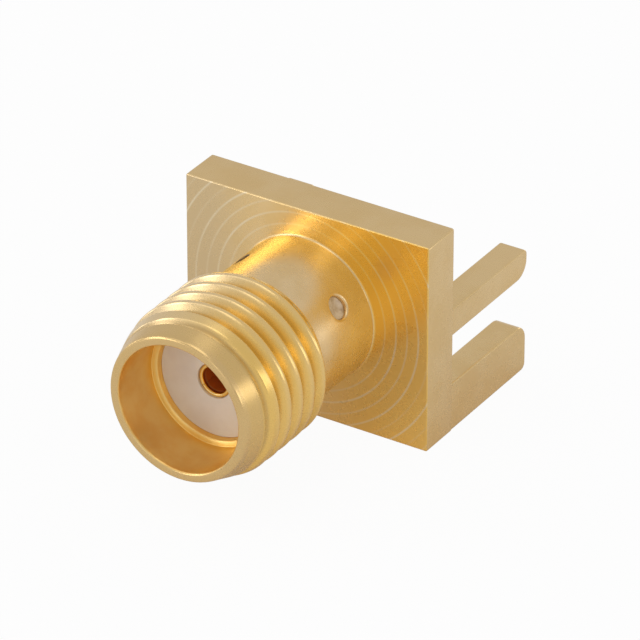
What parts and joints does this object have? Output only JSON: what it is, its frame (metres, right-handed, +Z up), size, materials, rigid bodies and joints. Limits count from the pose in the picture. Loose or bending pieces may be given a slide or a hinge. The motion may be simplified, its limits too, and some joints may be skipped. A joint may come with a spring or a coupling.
{
  "type": "sma edge mount jack",
  "caption": "Gold plated coaxial socket with a threaded barrel, a rectangular flange and legs that straddle a circuit board's edge.",
  "frame": {"origin": "on the barrel's axis, in the plane of the flange's back face, where the edge of the circuit board stops and the contact's tail begins", "axes": "-Y out of the mouth along the coupling thread, +Y along the legs and the tail over the board, +Z up from the board's top face, +X to the right seen from the mouth"},
  "size_m": [0.0094, 0.0143, 0.0078],
  "materials": {
    "gold_plate": "gold plated, satin",
    "ptfe": "waxy, matte",
    "contact_gold": "gold plated, polished",
    "resin": "cured, slightly glossy"
  },
  "bodies": {
    "root": {"body": "gold_plate", "insulator": "ptfe", "contact": "contact_gold", "epoxy_lock": "resin"}
  },
  "joints": []
}
